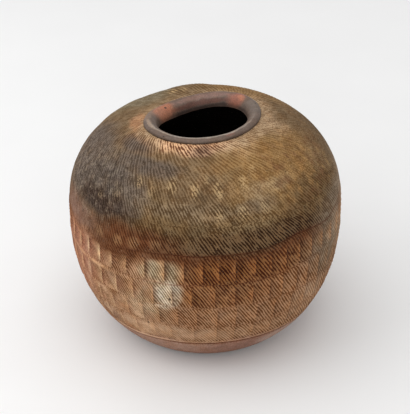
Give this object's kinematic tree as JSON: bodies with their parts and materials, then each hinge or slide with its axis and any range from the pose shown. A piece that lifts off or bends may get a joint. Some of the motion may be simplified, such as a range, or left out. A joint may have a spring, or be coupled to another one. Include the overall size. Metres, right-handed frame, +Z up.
{
  "type": "stoneware vase",
  "caption": "Round hand-built stoneware vase with a small off-centre mouth, grooved shoulders and paddled lower courses.",
  "frame": {"origin": "on the floor under the middle of the vase, at the middle of the foot's underside", "axes": "+Z up through the mouth, -Y towards the front, +X to the right seen from the front"},
  "size_m": [0.2697, 0.2699, 0.2378],
  "materials": {
    "foot_clay": "bare fired stoneware, matte, pinkish brown",
    "paddled_clay": "combed and paddled stoneware, matte, tan ridges over brown, with flame blushes",
    "shoulder_clay": "finely grooved stoneware, matte, olive to charcoal, with orange flashing round the mouth",
    "rim_clay": "smoothed stoneware, dull sheen, grey mauve with two orange patches"
  },
  "bodies": {
    "root": {"base_slab": "foot_clay", "foot_bowl": "foot_clay", "paddled_course_lowest": "paddled_clay", "paddled_course_lower": "paddled_clay", "paddled_course_middle": "paddled_clay", "paddled_course_upper": "paddled_clay", "lower_shoulder": "shoulder_clay", "upper_shoulder": "shoulder_clay", "rim_coil": "rim_clay"}
  },
  "joints": []
}
